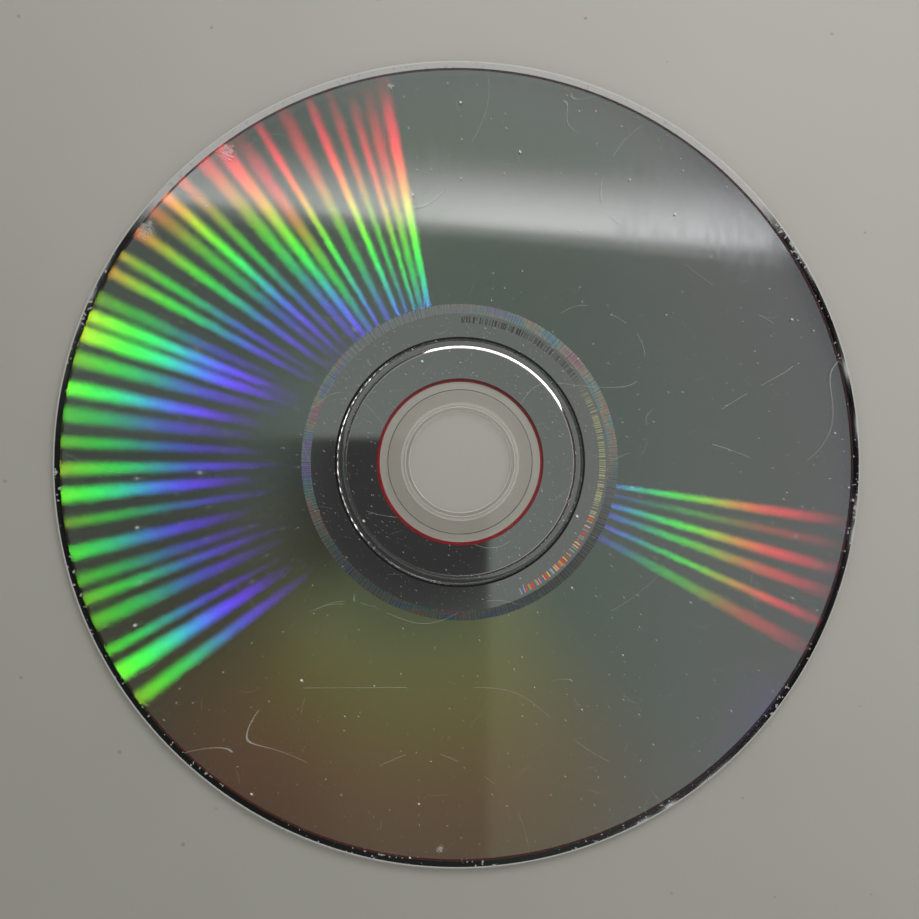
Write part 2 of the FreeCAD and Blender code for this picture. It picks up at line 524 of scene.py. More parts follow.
    @staticmethod
    def _scuff() -> bpy.types.NodeTree:
        """One scuffed patch: Mask of short rubbed strokes round Middle, in millimetres.

        Returns:
            The group.
        """
        maker = GroupMaker("rubbed_patch")
        nodes = maker.nodes
        flat = maker.take("Flat", (0.0, 0.0, 0.0), SocketKind.VECTOR)
        middle = maker.take("Middle", (0.0, 57.0, 0.0), SocketKind.VECTOR)
        reach = maker.take("Reach", 2.0)
        offset = nodes.vector("SUBTRACT", flat, middle)
        length = nodes.add("ShaderNodeVectorMath", operation="LENGTH")
        nodes.plug(offset, length.inputs[0])
        near = nodes.math("DIVIDE", length.outputs["Value"], reach)
        turned = nodes.add("ShaderNodeVectorRotate", rotation_type="Z_AXIS")
        turned.inputs["Angle"].default_value = math.radians(38.0)
        nodes.plug(flat, turned.inputs["Vector"])
        strokes = nodes.noise(nodes.vector("MULTIPLY", turned.outputs[0], (1.2, 7.0, 1.0)), 1.0, 2.0)
        limit = nodes.span(near, 0.1, 1.0, 0.44, 0.8)
        maker.give("Mask", nodes.math("GREATER_THAN", strokes, limit))
        return maker.tree

    @staticmethod
    def _nicks() -> bpy.types.NodeTree:
        """Small nicks along the rim: Mask is 1 on a nick.

        Returns:
            The group.
        """
        maker = GroupMaker("rim_nicks")
        nodes = maker.nodes
        radius = maker.take("Radius", 59.5)
        turn = maker.take("Turn", 0.0)
        share = maker.take("Share", 0.5)
        place = nodes.point(nodes.math("MULTIPLY", turn, 620.0), nodes.math("MULTIPLY", radius, 1.3))
        cut = nodes.noise(place, 1.0, 1.0)
        patch = nodes.noise(nodes.point(nodes.math("MULTIPLY", turn, 26.0), 3.0), 1.0, 1.0)
        limit = nodes.math("MULTIPLY_ADD", share, -0.25, 0.78)
        both = nodes.math("MULTIPLY_ADD", nodes.math("SUBTRACT", patch, 0.5), 0.5, cut)
        maker.give("Mask", nodes.math("GREATER_THAN", both, limit))
        return maker.tree


# --------------------------------------------------------------------------------------------------
# Finishes
# --------------------------------------------------------------------------------------------------


@dataclass(frozen=True)
class SpectrumBand:
    """One band of colour that the track sends off at its own angle."""

    slope: float
    colour: Colour


BANDS = (
    SpectrumBand(0.322, (0.062, 0.0, 0.36)),
    SpectrumBand(0.337, (0.0, 0.0, 0.33)),
    SpectrumBand(0.352, (0.0, 0.17, 0.065)),
    SpectrumBand(0.368, (0.0, 0.40, 0.0)),
    SpectrumBand(0.385, (0.0, 0.43, 0.0)),
    SpectrumBand(0.403, (0.28, 0.15, 0.0)),
    SpectrumBand(0.421, (0.46, 0.0, 0.015)),
    SpectrumBand(0.441, (0.44, 0.0, 0.025)),
)


@dataclass(frozen=True)
class TrackFinish:
    """The data area: a mirror whose fine spiral track also spreads light into spectra."""

    groups: DiscGroups
    base: Colour = (0.86, 0.92, 0.90)
    # Painted glow: the warm colour that the track is painted toward on its -X, -Y side.
    warm: Colour = (0.90, 0.75, 0.42)
    roughness: float = 0.045
    lobe_roughness: float = 0.074
    lobe_anisotropy: float = 0.68
    spread_share: float = 0.5
    inward_share: float = 0.75
    painted_sheen_share: float = 0.10

    def build(self) -> bpy.types.Material:
        """Makes the material.

        Returns:
            The material.
        """
        material, nodes, surface = new_material("disc_track")
        polar = nodes.group(self.groups.polar)
        mirror = self._mirror(nodes, polar)
        nodes.plug(nodes.mixed(self.spread_share, mirror, self._spectra(nodes, polar)), surface)
        return material

    def _mirror(self, nodes: Nodes, polar: Dict[str, Socket]) -> Socket:
        """Adds the plain reflection, with a faint painted rainbow sheen round the disc and a painted warm
        glow toward -X and -Y.

        Args:
            nodes: the material's tree.
            polar: where the point lies on the disc.

        Returns:
            The shader.
        """
        # Painted sheen: a faint rainbow tint by angle round the disc, standing in for the track's
        # iridescence.
        wheel = nodes.math("FRACT", nodes.math("MULTIPLY_ADD", polar["Turn"], 2.0, 0.1))
        tint = nodes.ramp(wheel, (
            (0.0, (0.80, 0.90, 0.87)), (0.18, (0.65, 0.87, 1.00)), (0.34, (0.90, 0.72, 1.00)),
            (0.50, (1.00, 0.75, 0.65)), (0.66, (1.00, 0.97, 0.60)), (0.84, (0.66, 1.00, 0.72)),
            (1.0, (0.80, 0.90, 0.87)),
        ))
        across, up, _ = nodes.split(polar["Outward"])
        # Painted glow: the base colour turns warm toward -X and -Y, where the track's spread light falls.
        low = nodes.span(nodes.math("MULTIPLY_ADD", across, 0.45, up), -0.45, -1.0, 0.0, 0.75)
        haze = nodes.group(self.groups.smears, Flat=polar["Flat"])["Haze"]
        return nodes.principled(
            Base_Color=nodes.blend(low, nodes.blend(self.painted_sheen_share, self.base, tint), self.warm),
            Metallic=1.0,
            Roughness=nodes.math("MULTIPLY_ADD", haze, 0.03, self.roughness),
        ).outputs[0]

    def _spectra(self, nodes: Nodes, polar: Dict[str, Socket]) -> Socket:
        """Adds a narrow leant mirror for each band, to each side of the track.

        Args:
            nodes: the material's tree.
            polar: where the point lies on the disc.

        Returns:
            The shader.
        """
        tangent = nodes.add("ShaderNodeTangent", direction_type="RADIAL", axis="Z").outputs["Tangent"]
        total = None
        for band in BANDS:
            for side, weight in ((-1.0, self.inward_share), (1.0, 1.0 - self.inward_share)):
                lean = nodes.group(self.groups.lean, Outward=polar["Outward"], Lean=side * band.slope)
                lobe = nodes.add("ShaderNodeBsdfAnisotropic", distribution="BECKMANN")
                nodes.plug(tuple(weight * part for part in band.colour), lobe.inputs["Color"])
                lobe.inputs["Roughness"].default_value = self.lobe_roughness
                lobe.inputs["Anisotropy"].default_value = self.lobe_anisotropy
                nodes.plug(lean["Normal"], lobe.inputs["Normal"])
                nodes.plug(tangent, lobe.inputs["Tangent"])
                if total is None:
                    total = lobe.outputs[0]
                    continue
                both = nodes.add("ShaderNodeAddShader")
                nodes.plug(total, both.inputs[0])
                nodes.plug(lobe.outputs[0], both.inputs[1])
                total = both.outputs[0]
        return total


@dataclass(frozen=True)
class MirrorBandFinish:
    """The bare mirror inside the data, with the pits and dust sealed under the plate."""

    groups: DiscGroups
    base: Colour = (0.72, 0.645, 0.685)
    fleck: Colour = (0.95, 0.95, 0.93)
    roughness: float = 0.03

    def build(self) -> bpy.types.Material:
        """Makes the material.

        Returns:
            The material.
        """
        material, nodes, surface = new_material("disc_mirror_band")
        flat = nodes.group(self.groups.polar)["Flat"]
        fine = nodes.group(self.groups.dust, Flat=flat, Spacing=0.55, Size=0.070, Share=0.24)["Mask"]
        coarse = nodes.group(self.groups.dust, Flat=flat, Spacing=1.7, Size=0.042, Share=0.25)["Mask"]
        specks = nodes.math("MAXIMUM", fine, coarse)
        shader = nodes.principled(
            Base_Color=nodes.blend(specks, self.base, self.fleck),
            Metallic=nodes.math("MULTIPLY_ADD", specks, -0.7, 1.0),
            Roughness=nodes.math("MULTIPLY_ADD", specks, 0.5, self.roughness),
        )
        nodes.plug(shader.outputs[0], surface)
        return material


@dataclass(frozen=True)
class LeadInFinish:
    """The narrow annulus between the mirror band and the data: paler, in fine bars, with painted pastel sheen
    in patches and painted light that is brightest toward +Y.
    """

    groups: DiscGroups
    base: Colour = (0.42, 0.43, 0.42)
    bars_per_turn: float = 640.0
    roughness: float = 0.24

    def build(self) -> bpy.types.Material:
        """Makes the material.

        Returns:
            The material.
        """
        material, nodes, surface = new_material("disc_lead_in")
        polar = nodes.group(self.groups.polar)
        turn = polar["Turn"]
        bars = nodes.noise(nodes.point(nodes.math("MULTIPLY", turn, self.bars_per_turn), 1.0), 1.0, 1.0)
        # Painted sheen: pastel colours in random patches, standing in for the shimmer of the annulus's coarse
        # grating.
        hues = nodes.noise(nodes.point(nodes.math("MULTIPLY", turn, 24.0), polar["Radius"]), 0.9, 2.0)
        pastel = nodes.ramp(nodes.span(hues, 0.3, 0.7), (
            (0.0, (0.66, 0.34, 0.46)), (0.25, (0.66, 0.56, 0.36)), (0.5, (0.50, 0.52, 0.50)),
            (0.75, (0.22, 0.58, 0.54)), (1.0, (0.40, 0.34, 0.76)),
        ))
        patches = nodes.noise(nodes.point(nodes.math("MULTIPLY", turn, 5.0), 7.0), 1.0)
        strong = nodes.span(patches, 0.4, 0.6, 0.15, 0.75)
        # Painted light: the annulus is darker toward -Y and brightest toward +Y.
        _, up, _ = nodes.split(polar["Outward"])
        painted_top_light = nodes.span(up, -0.8, 0.4, 0.38, 1.0)
        shade = nodes.math("MULTIPLY", nodes.span(bars, 0.35, 0.65, 0.82, 1.0), painted_top_light)
        colour = nodes.blend(strong, self.base, pastel)
        shader = nodes.principled(
            Base_Color=nodes.blend(1.0, colour, nodes.point(shade, shade, shade), "MULTIPLY"),
            Metallic=0.72,
            Roughness=nodes.span(bars, 0.3, 0.7, self.roughness, self.roughness + 0.12),
        )
        nodes.plug(shader.outputs[0], surface)
        return material


@dataclass(frozen=True)
class CodeBarFinish:
    """The bars cut into the mirror, with the light that they scatter painted into their colour by angle round
    the disc: grey, olive and then vivid.
    """

    groups: DiscGroups

    def build(self) -> bpy.types.Material:
        """Makes the material.

        Returns:
            The material.
        """
        material, nodes, surface = new_material("code_bars_painted_light")
        turn = nodes.group(self.groups.polar)["Turn"]
        # Painted light by angle: vivid colours on the lower right, olive and grey on the right, nearly black
        # toward +Y.
        quiet = nodes.ramp(nodes.span(turn, -0.06, 0.24), (
            (0.0, (0.42, 0.42, 0.20)), (0.4, (0.28, 0.29, 0.18)),
            (0.6, (0.07, 0.07, 0.07)), (1.0, (0.05, 0.05, 0.05)),
        ))
        pick = nodes.noise(nodes.point(nodes.math("MULTIPLY", turn, 160.0), 2.0), 1.0)
        vivid = nodes.ramp(nodes.span(pick, 0.25, 0.75), (
            (0.0, (0.75, 0.05, 0.04)), (0.36, (0.85, 0.14, 0.12)), (0.44, (0.85, 0.72, 0.02)),
            (0.56, (0.35, 0.62, 0.05)), (0.64, (0.85, 0.42, 0.50)), (0.72, (0.10, 0.55, 0.50)),
            (0.84, (0.22, 0.12, 0.65)),
        ), steps=True)
        low = nodes.span(turn, -0.07, -0.055, 1.0, 0.0)
        shader = nodes.principled(Base_Color=nodes.blend(low, quiet, vivid), Metallic=0.1, Roughness=0.4)
        nodes.plug(shader.outputs[0], surface)
        return material


@dataclass(frozen=True)
class ClearFinish:
    """Bare clear polycarbonate, seen right through."""

    groups: DiscGroups
    name: str = "clear_polycarbonate"
    tint: Colour = (0.992, 0.988, 0.978)
    shade: Colour = (0.95, 0.94, 0.93)
    ior: float = 1.58

    def build(self) -> bpy.types.Material:
        """Makes the material.

        Returns:
            The material.
        """
        material, nodes, surface = new_material(self.name)
        polar = nodes.group(self.groups.polar)
        haze = nodes.group(self.groups.smears, Flat=polar["Flat"])["Haze"]
        roughness = nodes.math("MULTIPLY", haze, 0.03)
        glass = nodes.principled(
            Base_Color=self.tint, Roughness=roughness, IOR=self.ior, Transmission_Weight=1.0,
        )
        through = nodes.add("ShaderNodeBsdfTransparent")
        nodes.plug(self.shade, through.inputs["Color"])
        path = nodes.add("ShaderNodeLightPath")
        lamps = nodes.math("MAXIMUM", path.outputs["Is Shadow Ray"], path.outputs["Is Diffuse Ray"])
        nodes.plug(nodes.mixed(lamps, glass.outputs[0], through.outputs[0]), surface)
        return material


@dataclass(frozen=True)
class MouldLineFinish:
    """A step or groove left by the mould, given a pale part-clear coat; made near-black, the same finish is
    painted shade outside the ridge.
    """

    groups: DiscGroups
    name: str = "mould_line"
    colour: Colour = (0.78, 0.77, 0.74)
    cover: float = 0.42
    mottle: float = 0.5

    def build(self) -> bpy.types.Material:
        """Makes the material.

        Returns:
            The material.
        """
        material, nodes, surface = new_material(self.name)
        grain = nodes.group(self.groups.grain, Flat=nodes.group(self.groups.polar)["Flat"], Depth=self.mottle)
        shader = nodes.principled(
            Base_Color=self.colour, Roughness=0.18, Alpha=nodes.math("MULTIPLY", grain["Shade"], self.cover),
        )
        nodes.plug(shader.outputs[0], surface)
        return material


@dataclass(frozen=True)
class RimFinish:
    """The rim outside the mirror, painted near-black round most of it and pale with painted light on its +Y
    side, with nicks along it.
    """

    groups: DiscGroups
    # Painted shade and painted light: the rim's near-black and its pale +Y side.
    dark: Colour = (0.10, 0.10, 0.10)
    pale: Colour = (0.40, 0.40, 0.385)
    nick: Colour = (0.32, 0.32, 0.31)
    nick_share: float = 0.22

    def build(self) -> bpy.types.Material:
        """Makes the material.

        Returns:
            The material.
        """
        material, nodes, surface = new_material("rim_painted_light_and_shade")
        polar = nodes.group(self.groups.polar)
        _, up, _ = nodes.split(polar["Outward"])
        # Painted light and shade: pale and rough on the +Y side, dark mirror elsewhere.
        painted_lit_side = nodes.span(up, 0.56, 0.66)
        nicks = nodes.group(
            self.groups.nicks, Radius=polar["Radius"], Turn=polar["Turn"], Share=self.nick_share,
        )["Mask"]
        rough = nodes.math("MAXIMUM", nicks, painted_lit_side)
        shader = nodes.principled(
            Base_Color=nodes.blend(nicks, nodes.blend(painted_lit_side, self.dark, self.pale), self.nick),
            Metallic=nodes.math("SUBTRACT", 1.0, rough),
            Roughness=nodes.math("MULTIPLY_ADD", rough, 0.4, 0.06),
        )
        nodes.plug(shader.outputs[0], surface)
        return material


@dataclass(frozen=True)
class Scuff:
    """A rubbed patch: its angle in degrees, its radius and its reach in millimetres."""

    angle: float
    radius: float
    reach: float

    def middle(self) -> Tuple[float, float, float]:
        """Where the patch lies, in millimetres."""
        angle = math.radians(self.angle)
        return (self.radius * math.cos(angle), self.radius * math.sin(angle), 0.0)


@dataclass(frozen=True)
class PaneFinish:
    """The gloss of a clear skin over the mirror or the print, with its dust, hairlines and rubs."""

    groups: DiscGroups
    name: str
    ior: float = 1.58
    dust_share: float = 0.30
    scratch_share: float = 0.45
    scuffs: Tuple[Scuff, ...] = ()
    mark: Colour = (0.80, 0.81, 0.80)

    def build(self) -> bpy.types.Material:
        """Makes the material.

        Returns:
            The material.
        """
        material, nodes, surface = new_material(self.name)
        skin = nodes.principled(Base_Color=self.mark, Roughness=0.5, Alpha=self._marks(nodes))
        gloss = nodes.add("ShaderNodeBsdfAnisotropic", distribution="GGX")
        gloss.inputs["Roughness"].default_value = 0.02
        fresnel = nodes.add("ShaderNodeFresnel")
        fresnel.inputs["IOR"].default_value = self.ior
        inside = nodes.add("ShaderNodeNewGeometry").outputs["Backfacing"]
        share = nodes.math("MULTIPLY", fresnel.outputs[0], nodes.math("SUBTRACT", 1.0, inside))
        nodes.plug(nodes.mixed(share, skin.outputs[0], gloss.outputs[0]), surface)
        return material

    def _marks(self, nodes: Nodes) -> Socket:
        """Adds the dust, the hairlines and the rubs.

        Args:
            nodes: the material's tree.

        Returns:
            How strongly a point is marked, from 0 to 1.
        """
        flat = nodes.group(self.groups.polar)["Flat"]
        dust, hairlines = self.groups.dust, self.groups.hairlines
        share = self.scratch_share
        marks = [
            (0.8, nodes.group(dust, Flat=flat, Spacing=2.2, Size=0.035, Share=self.dust_share)["Mask"]),
            (1.0, nodes.group(dust, Flat=flat, Spacing=8.0, Size=0.022, Share=self.dust_share)["Mask"]),
            (0.30, nodes.group(hairlines, Flat=flat, Pace=0.045, Width=0.0007, Share=share)["Mask"]),
            (0.22, nodes.group(hairlines, Flat=flat, Pace=0.09, Width=0.0009, Share=0.4 * share)["Mask"]),
        ]
        for scuff in self.scuffs:
            rub = nodes.group(self.groups.scuff, Flat=flat, Middle=scuff.middle(), Reach=scuff.reach)
            marks.append((0.32, rub["Mask"]))
        strongest = nodes.math("MULTIPLY", marks[0][1], marks[0][0])
        for weight, mark in marks[1:]:
            strongest = nodes.math("MAXIMUM", strongest, nodes.math("MULTIPLY", mark, weight))
        return strongest


@dataclass(frozen=True)
class BondedFinish:
    """A face that resin or ink wets, so that it neither shines nor bends light."""

    tint: Colour = (1.0, 1.0, 1.0)

    def build(self) -> bpy.types.Material:
        """Makes the material.

        Returns:
            The material.
        """
        material, nodes, surface = new_material("bonded_face")
        through = nodes.add("ShaderNodeBsdfTransparent")
        nodes.plug(self.tint, through.inputs["Color"])
        nodes.plug(through.outputs[0], surface)
        return material


@dataclass(frozen=True)
class MeniscusFinish:
    """The curled inner lip of the resin, painted near-black as shade where it turns light away."""

    groups: DiscGroups
    colour: Colour = (0.012, 0.012, 0.011)

    def build(self) -> bpy.types.Material:
        """Makes the material.

        Returns:
            The material.
        """
        material, nodes, surface = new_material("resin_meniscus_painted_shade")
        polar = nodes.group(self.groups.polar)
        grain = nodes.group(self.groups.grain, Flat=polar["Flat"], Depth=0.8)
        # Painted shade: a near-black line along the lip.
        shade = nodes.blend(1.0, self.colour, nodes.point(*[grain["Shade"]] * 3), "MULTIPLY")
        shader = nodes.principled(Base_Color=shade, Roughness=0.25)
        nodes.plug(shader.outputs[0], surface)
        return material


@dataclass(frozen=True)
class InkFinish:
    """Screen-printed ink: a flat colour with the mottle and relief of the print."""

    groups: DiscGroups
    name: str
    colour: Colour
    depth: float = 0.25
    roughness: float = 0.45

    def build(self) -> bpy.types.Material:
        """Makes the material.

        Returns:
            The material.
        """
        material, nodes, surface = new_material(self.name)
        polar = nodes.group(self.groups.polar)
        grain = nodes.group(self.groups.grain, Flat=polar["Flat"], Depth=self.depth)
        shader = nodes.principled(
            Base_Color=nodes.blend(1.0, self.colour, nodes.point(*[grain["Shade"]] * 3), "MULTIPLY"),
            Roughness=nodes.math("MULTIPLY", grain["Shade"], self.roughness),
            Normal=nodes.bump(grain["Height"], 0.3, 4.0 * UM),
        )
        nodes.plug(shader.outputs[0], surface)
        return material


@dataclass(frozen=True)
class MetalBackFinish:
    """The back and edges of the sputtered film, which only the resin sees."""

    groups: DiscGroups
    colour: Colour = (0.70, 0.71, 0.72)

    def build(self) -> bpy.types.Material:
        """Makes the material.

        Returns:
            The material.
        """
        material, nodes, surface = new_material("film_back")
        grain = nodes.group(self.groups.grain, Flat=nodes.group(self.groups.polar)["Flat"], Depth=0.1)
        shader = nodes.principled(
            Base_Color=nodes.blend(1.0, self.colour, nodes.point(*[grain["Shade"]] * 3), "MULTIPLY"),
            Metallic=1.0, Roughness=0.3,
        )
        nodes.plug(shader.outputs[0], surface)
        return material


@dataclass(frozen=True)
class TableFinish:
    """The pale warm-grey table top, open from below and to the light on what touches it, painted lighter
    toward +X and +Y as a pool of light.
    """

    groups: DiscGroups
    contact: float = 0.3
    # Painted light: the two ends of the table's painted gradient, shaded and lit.
    dark: Colour = (0.330, 0.322, 0.286)
    light: Colour = (0.430, 0.421, 0.384)

    def build(self) -> bpy.types.Material:
        """Makes the material.

        Returns:
            The material.
        """
        material, nodes, surface = new_material("table_top")
        flat = nodes.group(self.groups.polar)["Flat"]
        across, up, _ = nodes.split(flat)
        # Painted light: the table is darker toward -X and -Y and lighter toward +X and +Y.
        painted_light_drift = nodes.span(nodes.math("ADD", across, nodes.math("MULTIPLY", up, 0.8)), -120.0, 120.0)
        mottle = nodes.noise(flat, 0.03, 3.0)
        share = nodes.math("ADD", painted_light_drift, nodes.math("MULTIPLY_ADD", mottle, 0.3, -0.15), clamp=True)
        crumbs = nodes.group(self.groups.dust, Flat=flat, Spacing=14.0, Size=0.022, Share=0.45)["Mask"]
        colour = nodes.blend(share, self.dark, self.light)
        paint = nodes.principled(
            Base_Color=nodes.blend(nodes.math("MULTIPLY", crumbs, 0.45), colour, (0.14, 0.13, 0.11)),
            Roughness=0.55,
            Normal=nodes.bump(nodes.noise(flat, 1.6, 3.0), 0.15, 0.02 * MM),
        )
        through = nodes.add("ShaderNodeBsdfTransparent")
        below = nodes.add("ShaderNodeNewGeometry").outputs["Backfacing"]
        path = nodes.add("ShaderNodeLightPath")
        lighting = nodes.math("MAXIMUM", path.outputs["Is Shadow Ray"], path.outputs["Is Diffuse Ray"])
        touching = nodes.math("LESS_THAN", path.outputs["Ray Length"], self.contact * MM)
        beneath = nodes.math("MAXIMUM", below, nodes.math("MULTIPLY", lighting, touching))
        nodes.plug(nodes.mixed(beneath, paint.outputs[0], through.outputs[0]), surface)
        return material


# --------------------------------------------------------------------------------------------------
# Turned meshes
# --------------------------------------------------------------------------------------------------


@dataclass(frozen=True)
class Corner:
    """A corner of a turned section: radius in millimetres, height in metres, and the next face's finish."""

    radius: float
    height: float
    finish: int = 0


def rounded(centre: Corner, size: float, start: float, stop: float, steps: int = 5) -> List[Corner]:
    """Makes the corners along an arc of a section.

    Args:
        centre: the arc's centre, and the finish of its faces.
        size: its radius in millimetres.
        start: where it starts, in degrees from outward.
        stop: where it stops.
        steps: how many faces it has.

    Returns:
        The corners, ends included.
    """
    corners = []
    for step in range(steps + 1):
        angle = math.radians(start + (stop - start) * step / steps)
        radius = centre.radius + size * math.cos(angle)
        corners.append(Corner(radius, centre.height + size * math.sin(angle) * MM, centre.finish))
    return corners


def turned(name: str, section: Sequence[Corner], finishes: Sequence[bpy.types.Material]) -> bpy.types.Object:
    """Turns a closed section about the disc's axis.

    Args:
        name: the piece's name.
        section: its corners, anticlockwise with the radius to the right and the height up.
        finishes: the materials that the corners choose from.

    Returns:
        The piece.
    """
    count = len(section)
    turns = [2.0 * math.pi * step / STEPS for step in range(STEPS)]
    vertices = [
        (corner.radius * MM * math.cos(turn), corner.radius * MM * math.sin(turn), corner.height)
        for corner in section
        for turn in turns
    ]
    faces = []
    slots = []
    for index, corner in enumerate(section):
        after = (index + 1) % count
        for step in range(STEPS):
            beside = (step + 1) % STEPS
            ring, outer = index * STEPS, after * STEPS
            faces.append((ring + step, ring + beside, outer + beside, outer + step))
            slots.append(corner.finish)
    mesh = bpy.data.meshes.new(name)
    mesh.from_pydata(vertices, [], faces)
    for material in finishes:
        mesh.materials.append(material)
    mesh.polygons.foreach_set("material_index", slots)
    mesh.polygons.foreach_set("use_smooth", [True] * len(faces))
    mesh.update()
    creases = {index for index in range(count) if bend(section, index) > CREASE}
    mesh.edges.foreach_set("use_edge_sharp", [
        edge.vertices[0] // STEPS == edge.vertices[1] // STEPS and edge.vertices[0] // STEPS in creases
        for edge in mesh.edges
    ])
    piece = bpy.data.objects.new(name, mesh)
    bpy.context.scene.collection.objects.link(piece)
    return piece


def bend(section: Sequence[Corner], index: int) -> float:
    """Measures how sharply a section turns.

    Args:
        section: the section's corners.
        index: which corner.

    Returns:
        The turn there, in radians.
    """
    before, corner, after = section[index - 1], section[index], section[(index + 1) % len(section)]
    run_in = Vector((corner.radius - before.radius, (corner.height - before.height) / MM))
    run_out = Vector((after.radius - corner.radius, (after.height - corner.height) / MM))
    return run_in.angle(run_out)


def settle(piece: bpy.types.Object, slot: str, *nodes: str) -> bpy.types.Object:
    """Puts a finished piece on the disc's body.

    Args:
        piece: the piece.
        slot: not used.
        *nodes: the CAD nodes that it stands for.

    Returns:
        The piece.
    """
    if nodes:
        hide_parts(*nodes)
    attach(piece, BODY)
    LOG.info("%s: %d faces", piece.name, len(piece.data.polygons))
    return piece


# --------------------------------------------------------------------------------------------------
# The disc
# --------------------------------------------------------------------------------------------------


class PlateFace(IntEnum):
    """The finishes of a clear plate's faces."""

    CLEAR = 0
    PANE = 1
    BONDED = 2
    RIM = 3
    MOULDED = 4
    PAINTED_SHADE = 5


@dataclass
class PlateMaterials:
    """The materials of a clear plate, in the order of PlateFace."""

    clear: bpy.types.Material
    pane: bpy.types.Material
    bonded: bpy.types.Material
    rim: bpy.types.Material
    moulded: bpy.types.Material
    shaded: bpy.types.Material

    def listed(self) -> List[bpy.types.Material]:
        """The materials as a mesh lists them."""
        return [self.clear, self.pane, self.bonded, self.rim, self.moulded, self.shaded]


@dataclass
class ReadPlate:
    """The clear plate that the light reads through, with its sunk land and stacking ridge. In millimetres."""

    hole: float = HOLE
    hole_chamfer: float = HOLE_CHAMFER
    land: float = 8.1
    land_depth: float = 0.05
    land_lip: float = 0.12
    resin_inner: float = RESIN_INNER
    resin_outer: float = RESIN_OUTER
    film_inner: float = FILM_INNER
    ridge_inner: float = 16.95
    ridge_outer: float = 18.30
    ridge_height: float = 0.2
    crest_inner: float = 17.21
    crest_outer: float = 18.04
    ridge_round: float = 0.07
    ridge_lean: float = 0.4
    ridge_margin: float = 0.05
    painted_ridge_shade: float = 0.30
    rim_fall: float = 0.02
    rim_inner: float = 58.90
    rim_lip: float = 0.14
    rim_lip_share: float = 0.15
    edge_round: float = EDGE_ROUND

    def build(self, materials: PlateMaterials) -> bpy.types.Object:
        """Makes the plate.

        Args:
            materials: its finishes.

        Returns:
            The piece.
        """
        low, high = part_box("read_side_plate")
        section = self._under(low.z, high.x / MM) + self._over(high.z, high.x / MM)
        piece = turned("clear_read_plate", section, materials.listed())
        return settle(piece, "read_plate", "read_side_plate")

    def _under(self, level: float, outer: float) -> List[Corner]:
        """The bonded side.

        Args:
            level: its height in metres.
            outer: the plate's radius.

        Returns:
            The corners, from the hole outward.
        """
        return [
            Corner(self.hole, level, PlateFace.CLEAR),
            Corner(self.resin_inner, level, PlateFace.BONDED),
            Corner(self.resin_outer, level, PlateFace.CLEAR),
            Corner(outer, level, PlateFace.CLEAR),
        ]

    def _over(self, crest: float, outer: float) -> List[Corner]:
        """The read side.

        Args:
            crest: the ridge's height in metres.
            outer: the plate's radius.

        Returns:
            The corners, from the rim inward.
        """
        face = crest - self.ridge_height * MM
        rim = face - self.rim_fall * MM
        land = face - self.land_depth * MM
        edge = Corner(outer - self.edge_round, rim - self.edge_round * MM, PlateFace.MOULDED)
        lip = self.ridge_round
        outer_lip = Corner(self.crest_outer - self.ridge_lean * lip, crest - lip * MM, PlateFace.CLEAR)
        inner_lip = Corner(self.crest_inner + self.ridge_lean * lip, crest - lip * MM, PlateFace.CLEAR)
        return [
            *rounded(edge, self.edge_round, 0.0, 90.0),
            Corner(edge.radius - self.rim_lip, rim + self.rim_lip_share * self.rim_fall * MM, PlateFace.RIM),
            Corner(self.rim_inner, face, PlateFace.PANE),
            # Painted shade: a near-black strip just outside the ridge's foot.
            Corner(self.ridge_outer + self.painted_ridge_shade, face, PlateFace.PAINTED_SHADE),
            Corner(self.ridge_outer, face, PlateFace.CLEAR),
            *rounded(outer_lip, lip, 25.0, 90.0, 4),
            *rounded(inner_lip, lip, 90.0, 155.0, 4),
            Corner(self.ridge_inner, face, PlateFace.CLEAR),
            Corner(self.ridge_inner - self.ridge_margin, face, PlateFace.PANE),
            Corner(self.film_inner, face, PlateFace.CLEAR),
            Corner(self.land + self.land_lip, face, PlateFace.MOULDED),
            Corner(self.land, face, PlateFace.MOULDED),
            Corner(self.land, land, PlateFace.CLEAR),
            Corner(self.hole + self.hole_chamfer, land, PlateFace.MOULDED),
            Corner(self.hole, land - self.hole_chamfer * MM, PlateFace.CLEAR),
        ]


class FilmFace(IntEnum):
    """The finishes of the film's faces."""

    TRACK = 0
    LEAD_IN = 1
    MIRROR = 2
    BACK = 3


@dataclass
class MirrorFilm:
    """The sputtered mirror between the plates: bare band, lead-in annulus and track. In millimetres."""

    inner: float = FILM_INNER
    lead_in: float = 22.17
    track: float = 23.57
    gap: float = 5.0

    def build(self, materials: Sequence[bpy.types.Material]) -> bpy.types.Object:
        """Makes the film.

        Args:
            materials: its finishes in the order of FilmFace.

        Returns:
            The piece.
        """
        low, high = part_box("reflective_film")
        top = high.z - self.gap * UM
        outer = high.x / MM
        section = [
            Corner(self.inner, low.z + UM, FilmFace.BACK),
            Corner(outer, low.z + UM, FilmFace.BACK),
            Corner(outer, top, FilmFace.TRACK),
            Corner(self.track, top, FilmFace.LEAD_IN),
            Corner(self.lead_in, top, FilmFace.MIRROR),
            Corner(self.inner, top, FilmFace.BACK),
        ]
        return settle(turned("mirror_film_layer", section, materials), "mirror_film", "reflective_film")


